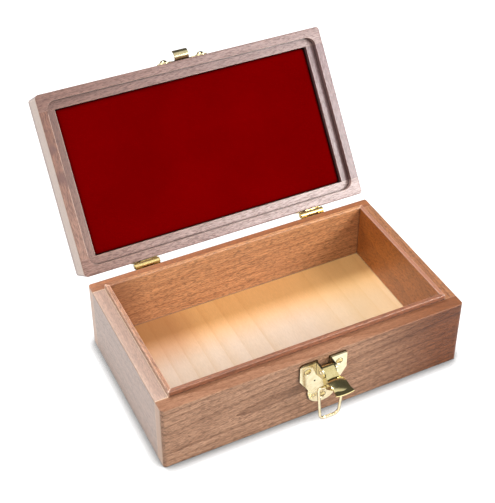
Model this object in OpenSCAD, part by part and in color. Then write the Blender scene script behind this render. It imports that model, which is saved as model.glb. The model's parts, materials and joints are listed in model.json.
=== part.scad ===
// Calibration weight case: a lined hardwood box with a hinged, velvet-padded lid and a draw catch.
// The origin is the centre of the base's underside. +X is right, +Y is the hinge side, +Z is up.
// The lid is drawn standing open on its hinge stops, and the catch hangs open.

/* [Case] */
// Outside width of the case, left to right
case_w = 228.6; // [190:0.1:260]
// Outside depth of the case, front to back
case_d = 134; // [115:0.5:160]
// Height of the base, from its underside to its rim
base_h = 53.8; // [51:0.1:70]
// Height of the lid, from its rim to its top face
lid_h = 29.5; // [28:0.1:40]
// Angle at which the hinge heels stop the lid
lid_open = 126.5; // [110:0.5:132]
// Gap between the two rims when the lid is closed
rim_gap = 0.3; // [0.2:0.05:0.6]

/* [Boards] */
// Thickness of the base's frame boards
board_t = 9.5; // [8.5:0.1:12]
// Thickness of the lining boards
liner_t = 3.2; // [2.4:0.1:4]
// Height of the lip that the lining makes above the rim
lip_h = 4; // [2.5:0.1:4.2]
// Rounding of the lip's edges
lip_round = 0.6; // [0.3:0.1:0.8]
// Radius of the case's upright corners
corner_r = 3.2; // [1.5:0.1:4]
// Rounding of the rims' outer edges
rim_round = 1; // [0.5:0.1:1.5]
// Rounding of the base's lower edges
foot_round = 1; // [0.5:0.1:1.5]

/* [Floor] */
// Thickness of the plywood floor, flush with the underside of the base
floor_t = 12.7; // [9:0.1:15]
// Depth of the rabbet that the floor is glued into
rabbet_d = 4; // [2.5:0.1:5]
// Clearance of the floor in its rabbet
rabbet_gap = 0.1; // [0.05:0.05:0.3]

/* [Lid] */
// Thickness of the lid's frame boards
lid_wall = 12.7; // [11.5:0.1:14]
// Width of the flat rim outside the rebate
rim_w = 6.4; // [5:0.1:7.2]
// Depth of the rebate that takes the lip
rebate_d = 4.6; // [4.4:0.1:6]
// Corner radius of the rebate
rebate_r = 7; // [3:0.5:9]
// Thickness of the lid's top panel
top_t = 9.5; // [8:0.1:10]
// Rounding of the lid's upper edges
top_round = 4; // [2:0.1:5]

/* [Velvet panel] */
// Thickness of the board behind the velvet
pad_board_t = 4; // [3:0.1:5]
// Thickness of the padded velvet
pad_t = 8.5; // [6:0.1:9]
// Clearance round the panel
pad_gap = 0.4; // [0.2:0.1:1]
// Rounding of the panel's visible edge
pad_round = 1.6; // [0.5:0.1:2.5]

/* [Hinges] */
// Distance from the case's end to the middle of a hinge
hinge_inset = 46.5; // [35:0.5:60]
// Length of a hinge along its pin
hinge_len = 19; // [16:0.5:25]
// Height of one hinge leaf
leaf_h = 14; // [12:0.5:16]
// Thickness of a hinge leaf
leaf_t = 0.9; // [0.7:0.05:1.1]
// Radius of the hinge knuckles
knuckle_r = 2.4; // [2.1:0.05:2.7]
// Distance of the hinge pin behind the case's back
pin_off = 2.8; // [2.75:0.05:3.2]
// Radius of the hinge pin
hinge_pin_r = 0.9; // [0.7:0.05:1.1]
// Radial clearance of the lid's knuckle on the pin
pin_gap = 0.05; // [0.03:0.01:0.08]
// Gap between neighbouring knuckles
knuckle_gap = 0.2; // [0.1:0.05:0.4]

/* [Catch plate] */
// Offset of the catch from the middle of the case
catch_x = 2.5; // [-10:0.5:10]
// Distance of the catch plate's top below the rim
catch_drop = 3.3; // [2:0.1:5]
// Width of the catch plate
plate_w = 35.8; // [34:0.1:40]
// Height of the catch plate
plate_h = 39.7; // [38:0.1:42]
// Thickness of the brass sheet
plate_t = 1.2; // [0.9:0.05:1.4]
// Height of the plate's wide part
shoulder_h = 14.5; // [13:0.1:16]
// Radius of the plate's lower lobe
lobe_r = 11.5; // [10.5:0.1:12.5]
// Height of the notch between the plate's ears
notch_h = 7; // [5:0.1:9]
// Radius of the cheeks' round ends
cheek_r = 4.6; // [4.2:0.1:5]
// Inside distance between the cheeks
cheek_space = 9; // [8.8:0.1:10]

/* [Catch lever] */
// Distance of the lever's rivet in front of the case
pivot_out = 6.2; // [5.8:0.1:6.6]
// Distance of the lever's rivet below the plate's top
pivot_drop = 5.5; // [5:0.1:6]
// Angle at which the lever stands open
lever_open = 45; // [35:1:55]
// Radius of the rivet
rivet_r = 1.2; // [1:0.05:1.4]
// Thickness of the lever's sheet
lever_t = 0.9; // [0.7:0.05:1.1]
// Outside width of the lever between the cheeks
neck_w = 8.3; // [7.8:0.1:8.5]
// Width of the thumb piece
thumb_w = 12.2; // [11:0.1:12.8]
// Width of the thumb piece's flared lip
tip_w = 13.4; // [12:0.1:13.8]
// Distance of the bail's eyes from the rivet
eye_reach = 10.6; // [10:0.1:11.2]
// Angle of the bail's eyes below the lever's line when it stands open
eye_angle = 58; // [55:0.5:60]

/* [Bail] */
// Radius of the bail's wire
wire_r = 1.05; // [0.9:0.05:1.1]
// Length of the bail, from its eyes to its cross wire
bail_reach = 30; // [26:0.1:32]
// Length of the straight part of the cross wire
bail_flat = 6.4; // [6.2:0.1:7]
// Radius of the bends beside the cross wire
bail_bend = 4.2; // [4:0.1:4.4]
// Lean of the bail's legs, outwards to the eyes
bail_lean = 4.8; // [4:0.1:5.2]
// Radius of the bends at the eyes
eye_bend = 1.6; // [1.2:0.1:2]

/* [Strike] */
// Width of the strike between its ears' centres
strike_w = 30; // [27:0.5:34]
// Radius of the strike's ears
ear_r = 5; // [4.5:0.1:5.5]
// Width of the hook
hook_w = 11.4; // [10:0.1:11.6]
// Inside radius of the hook
hook_r = 3.2; // [2.6:0.1:3.4]
// Clearance in the hook under the middle of the latched wire
hook_gap = 1.2; // [1.1:0.05:1.4]

/* [Screws] */
// Head radius of the catch screws
screw_head_r = 2.4; // [2:0.1:2.6]
// Shank radius of the catch screws
screw_r = 1.2; // [1:0.05:1.3]
// Length of the catch screws in the wood
screw_len = 7; // [5:0.5:8]
// Head radius of the hinge screws
small_head_r = 1.9; // [1.6:0.1:2.1]
// Shank radius of the hinge screws
small_r = 1; // [0.8:0.05:1.1]
// Height of a hinge screw's crown above its leaf
crown = 0.3; // [0.2:0.05:0.4]
// Height of the crown on the catch's oval-headed screws
oval_crown = 0.8; // [0.5:0.05:1]
// Head radius of the strike's round-headed screws
dome_head_r = 3.2; // [2.6:0.1:3.4]
// Height of those heads
dome_head_h = 2.3; // [1.8:0.1:2.5]

/* [Hidden] */
$fn = 64;
LEFT = -1;
RIGHT = 1;
FRONT = -1;
BACK = 1;
// Overshoot of a cut past the face that it opens
past = 1;
// Clearance of glued or driven pieces, so that their round faces only touch
snug = 0.02;

// The cavity that the lining closes in, and the room inside the base's frame
room_w = case_w - 2 * board_t;
room_d = case_d - 2 * board_t;
liner_h = base_h + lip_h - floor_t;
// The lid, drawn closed before it is swung open
lid_z = base_h + rim_gap;
lid_frame_h = lid_h - top_t;
recess_w = case_w - 2 * lid_wall;
recess_d = case_d - 2 * lid_wall;
pin_y = case_d / 2 + pin_off;
pin_z = base_h + rim_gap / 2;
hinge_x = case_w / 2 - hinge_inset;
// The lid's knuckle is the middle one of three
mid_knuckle = hinge_len * 0.44;
// Distance from a round knuckle within which the other leaf is cut away
knuckle_room = knuckle_r + 0.4;
leaf_round = 1.5;
pin_head_r = 1.6;
pin_head_t = 0.5;
heel_gap = 0.08;
heel_t = 1.5;
heel_len = 5;
screw_gap = 0.05;
// Screws of a hinge leaf: their distance from its middle and from the pin
leaf_screw_x = hinge_len * 0.28;
leaf_screw_up = leaf_h * 0.62;
slot_w = 0.7;
slot_d = 0.4;
tip_r = 0.2;
// Bevel round the mouth of a countersink
sink_bevel = 0.35;

// The catch: heights are measured up from the table, outward distances from the case's front
plate_top = base_h - catch_drop;
pivot_z = plate_top - pivot_drop;
cheek_t = plate_t;
ear_round = 2.5;
waist_w = 27;
waist_drop = 7;
lobe_drop = plate_h - lobe_r;
catch_screw_x = 12;
catch_screw_drop = 7.3;
low_screw_up = 5.6;
sight_hole_x = -6.5;
sight_hole_drop = 17.6;
sight_hole_r = 0.7;
eye_r = wire_r + 0.1;
eye_boss_r = 2.2;
lever_boss_r = 3.6;
rivet_head_r = 2;
rivet_head_t = 0.5;
// The bail's eyes when the lever stands open, and when it is closed
eye_out = pivot_out + eye_reach * cos(eye_angle);
eye_z = pivot_z - eye_reach * sin(eye_angle);
shut_eye_out = pivot_out + eye_reach * cos(eye_angle + lever_open);
shut_eye_z = pivot_z - eye_reach * sin(eye_angle + lever_open);
// Length of a bail leg, and half the distance between the bends at the eyes
bail_leg = (bail_reach - bail_bend * (1 - sin(bail_lean)) - eye_bend * (1 + sin(bail_lean))) / cos(bail_lean);
bail_eye_x = bail_flat / 2 + (bail_bend - eye_bend) * cos(bail_lean) + bail_leg * sin(bail_lean);
// Length of wire inside the lever, past its flange
eye_stub = 0.5;
bend_swell = 0.02;

// The hook's curl stands where the latched cross wire comes to lie
curl_out = plate_t + hook_r;
curl_wire_z = shut_eye_z + sqrt(bail_reach ^ 2 - (curl_out - shut_eye_out) ^ 2);
curl_z = curl_wire_z + hook_r - wire_r - hook_gap;
strike_bar_h = 6;
// Drop of the strike's screws below the middle of its curl
strike_drop = 2.85;
strike_z = curl_z - strike_drop;
hook_lip = 1.2;
hook_round = 2.4;

WALNUT = "#8f5f41";
WALNUT_LIGHT = "#b08060";
BIRCH = "#e8cfa4";
VELVET = "#7c0610";
BRASS = "#d9bd6a";
BRASS_DARK = "#b98f3a";

// Rectangle with one corner radius at its lower two corners and another at its upper two,
// where 0 leaves them square
module eased_rect(w, h, low, high) {
    difference() {
        square([w, h]);
        for (side = [0, 1], end = [0, 1]) {
            r = end == 0 ? low : high;
            if (r > 0) translate([side * w, end * h]) mirror([side, 0]) mirror([0, end]) difference() {
                translate([-past, -past]) square(r + past);
                translate([r, r]) circle(r);
            }
        }
    }
}

// Block standing on z = 0 with rounded upright corners and eased lower and upper edges
module eased_block(w, d, h, corner, low, high) {
    intersection() {
        translate([-w / 2, -d / 2, 0]) linear_extrude(h) eased_rect(w, d, corner, corner);
        translate([-w / 2, d, 0]) rotate([90, 0, 0]) linear_extrude(2 * d) eased_rect(w, h, low, high);
        translate([-w, -d / 2, 0]) rotate([90, 0, 90]) linear_extrude(2 * w) eased_rect(d, h, low, high);
    }
}

// Upright prism on z = 0 with rounded corners
module round_prism(w, d, h, r) {
    translate([-w / 2, -d / 2, 0]) linear_extrude(h) eased_rect(w, d, r, r);
}

// Extrudes a profile drawn in the upright plane across the case: its first axis runs to the back,
// its second axis up, and its length along X, centred
module across(length) {
    translate([-length / 2, 0, 0]) rotate([90, 0, 90]) linear_extrude(length) children();
}

// Same for a profile whose first axis runs out from the case's front
module across_out(length) {
    across(length) mirror([1, 0]) children();
}

// Moves what is drawn at the case's front face, with z outwards, to its place
module on_front(z) {
    translate([catch_x, -case_d / 2, z]) rotate([90, 0, 0]) children();
}

// Moves what is drawn about a hinge pin, in X, to each hinge
module at_hinge(side) {
    translate([side * hinge_x, pin_y, pin_z]) children();
}

// Swings the closed lid open about the hinge pins
module swung_open() {
    translate([0, pin_y, pin_z]) rotate([-lid_open, 0, 0]) translate([0, -pin_y, -pin_z]) children();
}

// Countersunk wood screw along -Z, its head in a sheet that lies on z = 0
module wood_screw(head_r, shank_r, sheet, length, rise) {
    head_z = sheet - (head_r - shank_r);
    difference() {
        union() {
            translate([0, 0, head_z]) cylinder(r1 = shank_r, r2 = head_r, h = head_r - shank_r);
            translate([0, 0, sheet]) head_cap(head_r, rise);
            screw_shank(shank_r, length, head_z);
        }
        translate([-2 * head_r, -slot_w / 2, sheet + rise - slot_d]) cube([4 * head_r, slot_w, slot_d + past]);
    }
}

// Crown of a screw head: a cap cut from a ball, standing on z = 0
module head_cap(head_r, rise) {
    ball_r = (head_r ^ 2 + rise ^ 2) / (2 * rise);
    intersection() {
        translate([0, 0, rise - ball_r]) sphere(ball_r);
        translate([-2 * head_r, -2 * head_r, 0]) cube([4 * head_r, 4 * head_r, rise + past]);
    }
}

// Shank with a pointed end, from depth length up to z = top
module screw_shank(shank_r, length, top) {
    translate([0, 0, shank_r - length]) cylinder(r = shank_r, h = length - shank_r + top);
    translate([0, 0, -length]) cylinder(r1 = tip_r, r2 = shank_r, h = shank_r);
}

// Round-headed wood screw along -Z, its head on a sheet that lies on z = 0
module dome_screw(head_r, head_h, shank_r, sheet, length) {
    difference() {
        union() {
            translate([0, 0, sheet]) head_cap(head_r, head_h);
            screw_shank(shank_r, length, sheet + head_h / 2);
        }
        translate([-2 * head_r, -slot_w / 2, sheet + head_h - 2 * slot_d]) cube([4 * head_r, slot_w, head_h]);
    }
}

// Countersink and shank hole that the screw passes through
module screw_way(head_r, shank_r, sheet) {
    translate([0, 0, sheet - (head_r - shank_r)])
        cylinder(r1 = shank_r + screw_gap, r2 = head_r + screw_gap + past, h = head_r - shank_r + past);
    shank_way(shank_r, sheet);
    translate([0, 0, sheet - sink_bevel]) cylinder(r1 = head_r, r2 = head_r + sink_bevel + past, h = sink_bevel + past);
}

// Plain hole for a shank
module shank_way(shank_r, sheet) {
    translate([0, 0, -past]) cylinder(r = shank_r + screw_gap, h = sheet + 2 * past);
}

// Pilot hole in the wood
module pilot(shank_r, length) {
    translate([0, 0, -length - past]) cylinder(r = shank_r + snug, h = length + 2 * past);
}

// The outer form of the base, eased after its frame is glued up
module base_form() {
    eased_block(case_w, case_d, base_h, corner_r, foot_round, rim_round);
}

// The outer form of the lid, closed, standing on z = 0
module lid_form() {
    eased_block(case_w, case_d, lid_h, corner_r, rim_round, top_round);
}

// Rabbet that holds the floor, as one slab, open at the underside
module floor_rabbet() {
    w = room_w + 2 * rabbet_d;
    d = room_d + 2 * rabbet_d;
    translate([-w / 2, -d / 2, -past]) cube([w, d, floor_t + past]);
}

// Places of the catch plate's three screws, with z outwards
module catch_screw_places() {
    for (side = [LEFT, RIGHT])
        on_front(plate_top - catch_screw_drop) translate([side * catch_screw_x, 0, 0]) children();
    on_front(plate_top - plate_h + low_screw_up) children();
}

// Places of the strike's screws on the closed lid, with z outwards
module strike_screw_places() {
    for (side = [LEFT, RIGHT])
        on_front(strike_z) translate([side * strike_w / 2, 0, 0]) children();
}

// Places of one leaf's screws about the hinge pin, with z pointing out from the case's back.
// rise is -1 on the base and 1 on the lid.
module leaf_screw_places(rise) {
    for (side = [LEFT, RIGHT])
        translate([side * leaf_screw_x, -pin_off, rise * leaf_screw_up]) rotate([-90, 0, 0]) children();
}

// A front or back board of the base runs the full width
module base_long_board(end) {
    color(WALNUT) difference() {
        intersection() {
            base_form();
            translate([-case_w, end * (case_d - board_t) / 2 - board_t / 2, -past])
                cube([2 * case_w, board_t, base_h + 2 * past]);
        }
        floor_rabbet();
        if (end == FRONT) catch_screw_places() pilot(screw_r, screw_len);
        if (end == BACK) for (side = [LEFT, RIGHT])
            at_hinge(side) leaf_screw_places(-1) pilot(small_r, screw_len);
    }
}

module base_front_board() base_long_board(FRONT);

module base_back_board() base_long_board(BACK);

// A side board of the base stands between the front and the back
module base_side_board(side) {
    color(WALNUT_LIGHT) difference() {
        intersection() {
            base_form();
            translate([side * (case_w - board_t) / 2 - board_t / 2, -room_d / 2, -past])
                cube([board_t, room_d, base_h + 2 * past]);
        }
        floor_rabbet();
    }
}

module base_left_board() base_side_board(LEFT);

module base_right_board() base_side_board(RIGHT);

// Lining board with mitred ends and an eased lip, running along X against y = 0, inner face at +Y
module liner_board(length) {
    translate([0, 0, floor_t]) intersection() {
        across(length + 2 * past) eased_rect(liner_t, liner_h, 0, lip_round);
        linear_extrude(liner_h) polygon([
            [-length / 2, 0], [length / 2, 0],
            [length / 2 - liner_t, liner_t], [liner_t - length / 2, liner_t]
        ]);
    }
}

module front_liner() color(WALNUT_LIGHT) translate([0, -room_d / 2, 0]) liner_board(room_w);

module back_liner() color(WALNUT) translate([0, room_d / 2, 0]) rotate(180) liner_board(room_w);

module left_liner() color(WALNUT) translate([-room_w / 2, 0, 0]) rotate(-90) liner_board(room_d);

module right_liner() color(WALNUT) translate([room_w / 2, 0, 0]) rotate(90) liner_board(room_d);

// Plywood floor, held in the rabbet round the frame
module floor_panel() {
    w = room_w + 2 * (rabbet_d - rabbet_gap);
    d = room_d + 2 * (rabbet_d - rabbet_gap);
    color(BIRCH) translate([-w / 2, -d / 2, 0]) cube([w, d, floor_t]);
}

// Everything that is cut from the lid's frame: the recess and the rebate for the lip
module lid_cuts() {
    translate([0, 0, lid_z - past]) {
        translate([-recess_w / 2, -recess_d / 2, 0]) cube([recess_w, recess_d, lid_h + past]);
        round_prism(case_w - 2 * rim_w, case_d - 2 * rim_w, rebate_d + past, rebate_r);
    }
}

// The lid's frame as one closed ring, from which the boards are cut
module lid_frame() {
    difference() {
        translate([0, 0, lid_z]) lid_form();
        translate([-case_w, -case_d, lid_z + lid_frame_h]) cube([2 * case_w, 2 * case_d, lid_h]);
        lid_cuts();
        strike_screw_places() pilot(screw_r, screw_len);
        for (side = [LEFT, RIGHT]) at_hinge(side) leaf_screw_places(1) pilot(small_r, screw_len);
    }
}

module lid_long_board(end) {
    swung_open() color(WALNUT_LIGHT) intersection() {
        lid_frame();
        translate([-case_w, end * (case_d - lid_wall) / 2 - lid_wall / 2, lid_z - past])
            cube([2 * case_w, lid_wall, lid_h]);
    }
}

module lid_front_board() lid_long_board(FRONT);

module lid_back_board() lid_long_board(BACK);

module lid_side_board(side) {
    swung_open() color(WALNUT_LIGHT) intersection() {
        lid_frame();
        translate([side * (case_w - lid_wall) / 2 - lid_wall / 2, -recess_d / 2, lid_z - past])
            cube([lid_wall, recess_d, lid_h]);
    }
}

module lid_left_board() lid_side_board(LEFT);

module lid_right_board() lid_side_board(RIGHT);

// Top panel, glued over the frame and rounded with it
module lid_top_panel() {
    swung_open() color(WALNUT) intersection() {
        translate([0, 0, lid_z]) lid_form();
        translate([-case_w, -case_d, lid_z + lid_frame_h]) cube([2 * case_w, 2 * case_d, lid_h]);
    }
}

// Board behind the velvet, against the top panel
module pad_board() {
    w = recess_w - 2 * pad_gap;
    d = recess_d - 2 * pad_gap;
    swung_open() color(BIRCH) translate([-w / 2, -d / 2, lid_z + lid_frame_h - pad_board_t])
        cube([w, d, pad_board_t]);
}

// Velvet-covered pad, its edge rounded towards the case
module velvet_pad() {
    w = recess_w - 2 * pad_gap;
    d = recess_d - 2 * pad_gap;
    swung_open() color(VELVET) translate([0, 0, lid_z + lid_frame_h - pad_board_t - pad_t])
        eased_block(w, d, pad_t, pad_round, pad_round, 0);
}

// Leaf and knuckles of one hinge about its pin, closed. rise is -1 for the base's leaf and 1 for
// the lid's; bore_gap is the clearance of its knuckles on the pin.
module hinge_leaf(rise, bore_gap) {
    end_knuckle = (hinge_len - mid_knuckle) / 2;
    difference() {
        union() {
            translate([-hinge_len / 2, -pin_off, rise > 0 ? 0 : -leaf_h])
                cube([hinge_len, leaf_t, leaf_h]);
            if (rise > 0) {
                translate([-mid_knuckle / 2, 0, 0]) rotate([0, 90, 0]) cylinder(r = knuckle_r, h = mid_knuckle);
                // The heel meets the base's leaf when the lid stands open
                rotate([lid_open, 0, 0])
                    translate([-mid_knuckle / 2, leaf_t - pin_off + heel_gap, -heel_len])
                        cube([mid_knuckle, heel_t, heel_len]);
            } else {
                for (side = [0, 1])
                    translate([side * (hinge_len - end_knuckle) - hinge_len / 2, 0, 0])
                        rotate([0, 90, 0]) cylinder(r = knuckle_r, h = end_knuckle);
            }
        }
        // The pin's bore
        translate([-hinge_len, 0, 0]) rotate([0, 90, 0])
            cylinder(r = hinge_pin_r + bore_gap, h = 2 * hinge_len);
        // Room for the other leaf's knuckles
        if (rise > 0) {
            for (side = [LEFT, RIGHT])
                translate([side * (hinge_len / 2 + past) - (side > 0 ? end_knuckle + past : 0), -pin_off - past, -past])
                    cube([end_knuckle + past, 2 * past + leaf_t, knuckle_room + past]);
        } else {
            translate([-mid_knuckle / 2 - knuckle_gap, -pin_off - past, -knuckle_room])
                cube([mid_knuckle + 2 * knuckle_gap, 2 * past + leaf_t, knuckle_room + past]);
        }
        // Rounded outer corners
        for (side = [LEFT, RIGHT])
            translate([side * hinge_len / 2, -pin_off - past, rise * leaf_h])
                mirror([side > 0 ? 1 : 0, 0, 0]) mirror([0, 0, rise > 0 ? 1 : 0]) rotate([-90, 0, 0])
                    linear_extrude(2 * past + leaf_t) difference() {
                        translate([-past, -leaf_round]) square(leaf_round + past);
                        translate([leaf_round, -leaf_round]) circle(leaf_round);
                    }
        leaf_screw_places(rise) screw_way(small_head_r, small_r, leaf_t);
    }
}

module hinge_base_leaf(side) color(BRASS) at_hinge(side) hinge_leaf(-1, snug);

module hinge_lid_leaf(side) swung_open() color(BRASS) at_hinge(side) hinge_leaf(1, pin_gap);

// Pin through the three knuckles, headed at both ends
module hinge_pin(side) {
    color(BRASS_DARK) at_hinge(side) {
        translate([-hinge_len / 2 - pin_head_t, 0, 0]) rotate([0, 90, 0]) {
            cylinder(r = hinge_pin_r, h = hinge_len + 2 * pin_head_t);
            for (end = [0, 1]) translate([0, 0, end * (hinge_len + pin_head_t)])
                cylinder(r = pin_head_r, h = pin_head_t);
        }
    }
}

module left_hinge_base_leaf() hinge_base_leaf(LEFT);

module right_hinge_base_leaf() hinge_base_leaf(RIGHT);

module left_hinge_lid_leaf() hinge_lid_leaf(LEFT);

module right_hinge_lid_leaf() hinge_lid_leaf(RIGHT);

module left_hinge_pin() hinge_pin(LEFT);

module right_hinge_pin() hinge_pin(RIGHT);

module hinge_base_screws() color(BRASS) for (side = [LEFT, RIGHT])
    at_hinge(side) leaf_screw_places(-1) wood_screw(small_head_r, small_r, leaf_t, screw_len, crown);

module hinge_lid_screws() swung_open() color(BRASS) for (side = [LEFT, RIGHT])
    at_hinge(side) leaf_screw_places(1) wood_screw(small_head_r, small_r, leaf_t, screw_len, crown);

// Shield outline of the catch plate, its top edge on y = 0
module shield() {
    translate([-plate_w / 2, -shoulder_h]) eased_rect(plate_w, shoulder_h, 0, ear_round);
    polygon([
        [-plate_w / 2, -shoulder_h], [plate_w / 2, -shoulder_h],
        [waist_w / 2, -shoulder_h - waist_drop], [lobe_r * 0.7, -lobe_drop - 2],
        [-lobe_r * 0.7, -lobe_drop - 2], [-waist_w / 2, -shoulder_h - waist_drop]
    ]);
    translate([0, -lobe_drop]) circle(lobe_r);
}

// Side outline of one cheek: a round lobe about the rivet on a foot that runs into the plate
module cheek_outline() {
    translate([pivot_out, pivot_z]) circle(cheek_r);
    polygon([
        [plate_t / 2, pivot_z + cheek_r], [pivot_out, pivot_z + cheek_r], [pivot_out + 1, pivot_z],
        [pivot_out, pivot_z - cheek_r], [plate_t / 2, pivot_z - cheek_r - 2.4]
    ]);
}

// Plate with two cheeks bent up between its ears
module catch_plate() {
    color(BRASS) difference() {
        union() {
            on_front(plate_top) linear_extrude(plate_t) shield();
            for (side = [LEFT, RIGHT])
                translate([catch_x + side * (cheek_space + cheek_t) / 2, -case_d / 2, 0])
                    across_out(cheek_t) cheek_outline();
        }
        // Notch between the ears, open at the top
        on_front(plate_top - notch_h) translate([-cheek_space / 2, 0, -past])
            cube([cheek_space, notch_h + past, plate_t + 2 * past]);
        translate([catch_x, -case_d / 2 - pivot_out, pivot_z]) rotate([0, 90, 0])
            cylinder(r = rivet_r + snug, h = plate_w, center = true);
        on_front(plate_top - sight_hole_drop) translate([sight_hole_x, 0, -past])
            cylinder(r = sight_hole_r, h = plate_t + 2 * past);
        catch_screw_places() screw_way(screw_head_r, screw_r, plate_t);
    }
}

module catch_screws() color(BRASS) catch_screw_places()
    wood_screw(screw_head_r, screw_r, plate_t, screw_len, oval_crown);

// Rivet through the cheeks and the lever, with a low head on each side
module lever_pin() {
    length = cheek_space + 2 * cheek_t;
    color(BRASS_DARK) translate([catch_x - length / 2, -case_d / 2 - pivot_out, pivot_z]) rotate([0, 90, 0]) {
        cylinder(r = rivet_r, h = length);
        translate([0, 0, -rivet_head_t]) cylinder(r1 = rivet_r, r2 = rivet_head_r, h = rivet_head_t);
        translate([0, 0, length]) cylinder(r1 = rivet_head_r, r2 = rivet_r, h = rivet_head_t);
    }
}

// The lever in side view is drawn about its rivet: distance outwards, then height. Its sheet arches
// over the rivet, ramps down to the thumb piece, swells there into a dome and ends in a flat lip.
arch_from = 125;
arch_to = 60;
ramp_len = 7.3;
ramp_way = [sin(arch_to), -cos(arch_to)];
// The ramp starts a little inside the arch's sheet, at this angle and depth
tuck_angle = 63;
tuck = 0.05;
ramp_end = lever_boss_r * [cos(arch_to), sin(arch_to)] + ramp_len * ramp_way;
shoulder_from = 5.2;
shoulder_to = 11.5;
thumb_end = 24.8;
lip_len = 4.2;
tip_round = 30;
// The dome's radius along the lever and across it, and the place of its axis
dome_r = 18;
dome_across_r = 24;
dome_out = 15.7;
dome_z = -16.4;
dome_from = 7.2;
function dome_top(out) = dome_z + sqrt(dome_r ^ 2 - (out - dome_out) ^ 2);
lip_z = dome_top(thumb_end - lip_len) - lever_t / 3;

// Arch and ramp in side view
module neck_outline() {
    inner_r = lever_boss_r - lever_t;
    intersection() {
        difference() {
            circle(lever_boss_r);
            circle(inner_r);
        }
        polygon([
            [0, 0], 2 * lever_boss_r * [cos(arch_from), sin(arch_from)],
            [0, 2 * lever_boss_r], 2 * lever_boss_r * [cos(arch_to), sin(arch_to)]
        ]);
    }
    polygon([
        (lever_boss_r - tuck) * [cos(tuck_angle), sin(tuck_angle)],
        (inner_r + tuck) * [cos(tuck_angle), sin(tuck_angle)],
        inner_r * [cos(arch_to), sin(arch_to)] + ramp_len * ramp_way, ramp_end
    ]);
}

// Flat lip in side view
module lip_outline() {
    translate([thumb_end - lip_len, lip_z - lever_t]) square([lip_len + past, lever_t]);
}

// Dome of the thumb piece, as part of a ring about an axis across the lever
module thumb_dome() {
    translate([0, -dome_out, dome_z]) rotate([0, 90, 0]) rotate_extrude() intersection() {
        translate([dome_r - dome_across_r, 0]) difference() {
            circle(dome_across_r);
            circle(dome_across_r - lever_t);
        }
        translate([dome_r - thumb_w / 2, -thumb_w]) square([thumb_w, 2 * thumb_w]);
    }
}

// Plan of the lever, outwards along its first axis: narrow between the cheeks, wide at the thumb
module lever_plan() {
    translate([-lever_boss_r - past, -neck_w / 2]) square([lever_boss_r + past + ramp_end[0], neck_w]);
    intersection() {
        for (side = [0, 1]) mirror([0, side]) polygon([
            [shoulder_from, 0], [shoulder_from, neck_w / 2], [shoulder_to, thumb_w / 2],
            [thumb_end - lip_len, thumb_w / 2], [thumb_end, tip_w / 2], [thumb_end, 0]
        ]);
        translate([thumb_end - tip_round, 0]) circle(tip_round);
    }
}

// Upright prism of the lever's plan, between two heights about the rivet
module lever_prism(low, high) {
    rotate(-90) translate([0, 0, low]) linear_extrude(high - low) lever_plan();
}

// Side outline of the lever's flanges: they reach from the rivet to the bail's eyes and run out
// under the thumb piece
module flange_outline() {
    eye = [eye_reach * cos(eye_angle), -eye_reach * sin(eye_angle)];
    difference() {
        union() {
            circle(lever_boss_r);
            translate(eye) circle(eye_boss_r);
            polygon([
                [-lever_boss_r * 0.9, -lever_boss_r * 0.4], [0.6, lever_boss_r * 0.9],
                [dome_from, dome_top(dome_from) - lever_t / 4],
                for (out = [shoulder_to, dome_out, thumb_end - lip_len]) [out, dome_top(out) - lever_t],
                eye + eye_boss_r * [cos(-35), sin(-35)], eye + eye_boss_r * [cos(205), sin(205)]
            ]);
        }
        circle(rivet_r + pin_gap);
        translate(eye) circle(eye_r);
    }
}

// Sheet lever with two flanges, turning on the rivet, drawn as it stands open
module catch_lever() {
    color(BRASS_DARK) translate([catch_x, -case_d / 2 - pivot_out, pivot_z]) {
        intersection() {
            across_out(2 * thumb_w) {
                neck_outline();
                lip_outline();
            }
            lever_prism(-lever_boss_r, lever_boss_r + past);
        }
        intersection() {
            thumb_dome();
            lever_prism(dome_z + dome_r / 2, lever_boss_r);
            translate([-thumb_w, -thumb_end + lip_len / 2, dome_z])
                cube([2 * thumb_w, thumb_end - lip_len / 2 - dome_from, 2 * dome_r]);
        }
        for (side = [LEFT, RIGHT])
            translate([side * (neck_w - lever_t) / 2, 0, 0]) across_out(lever_t) flange_outline();
    }
}

// Straight wire along +Y, with what follows drawn at its end
module wire_run(length) {
    rotate([-90, 0, 0]) cylinder(r = wire_r, h = length);
    translate([0, length, 0]) children();
}

// Wire that sets out along +Y and bends to the left, with what follows drawn at its end.
// The wire swells by a hair where the bend ends.
module wire_bend(r, turn) {
    translate([-r, 0, 0]) {
        rotate_extrude(angle = turn) translate([r, 0]) circle(wire_r);
        rotate(turn) translate([r, 0, 0]) {
            sphere(wire_r + bend_swell);
            children();
        }
    }
}

// One half of the bail in its own plane, from the middle of the cross wire to the eye on y = 0
module bail_side() {
    translate([0, -bail_reach, 0]) rotate(-90)
        wire_run(bail_flat / 2)
        wire_bend(bail_bend, 90 - bail_lean)
        wire_run(bail_leg)
        wire_bend(eye_bend, 90 + bail_lean)
        wire_run(bail_eye_x - neck_w / 2 + lever_t + eye_stub);
}

// Wire loop, hanging from the lever's eyes
module bail() {
    color(BRASS) translate([catch_x, -case_d / 2 - eye_out, eye_z]) rotate([90, 0, 0]) {
        bail_side();
        mirror([1, 0, 0]) bail_side();
    }
}

// Outline of the strike plate about its screws' line: two ears joined by a bar over the hook
module strike_outline() {
    for (side = [LEFT, RIGHT]) translate([side * strike_w / 2, 0]) circle(ear_r);
    translate([-strike_w / 2, strike_drop]) square([strike_w, strike_bar_h]);
    for (side = [LEFT, RIGHT]) polygon([
        [side * strike_w / 2, strike_drop + strike_bar_h], [side * hook_w / 2, strike_drop + strike_bar_h],
        [side * hook_w / 2, strike_drop], [side * (strike_w / 2 - ear_r * 0.8), -ear_r * 0.5],
        [side * strike_w / 2, -ear_r * 0.5]
    ]);
}

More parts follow.
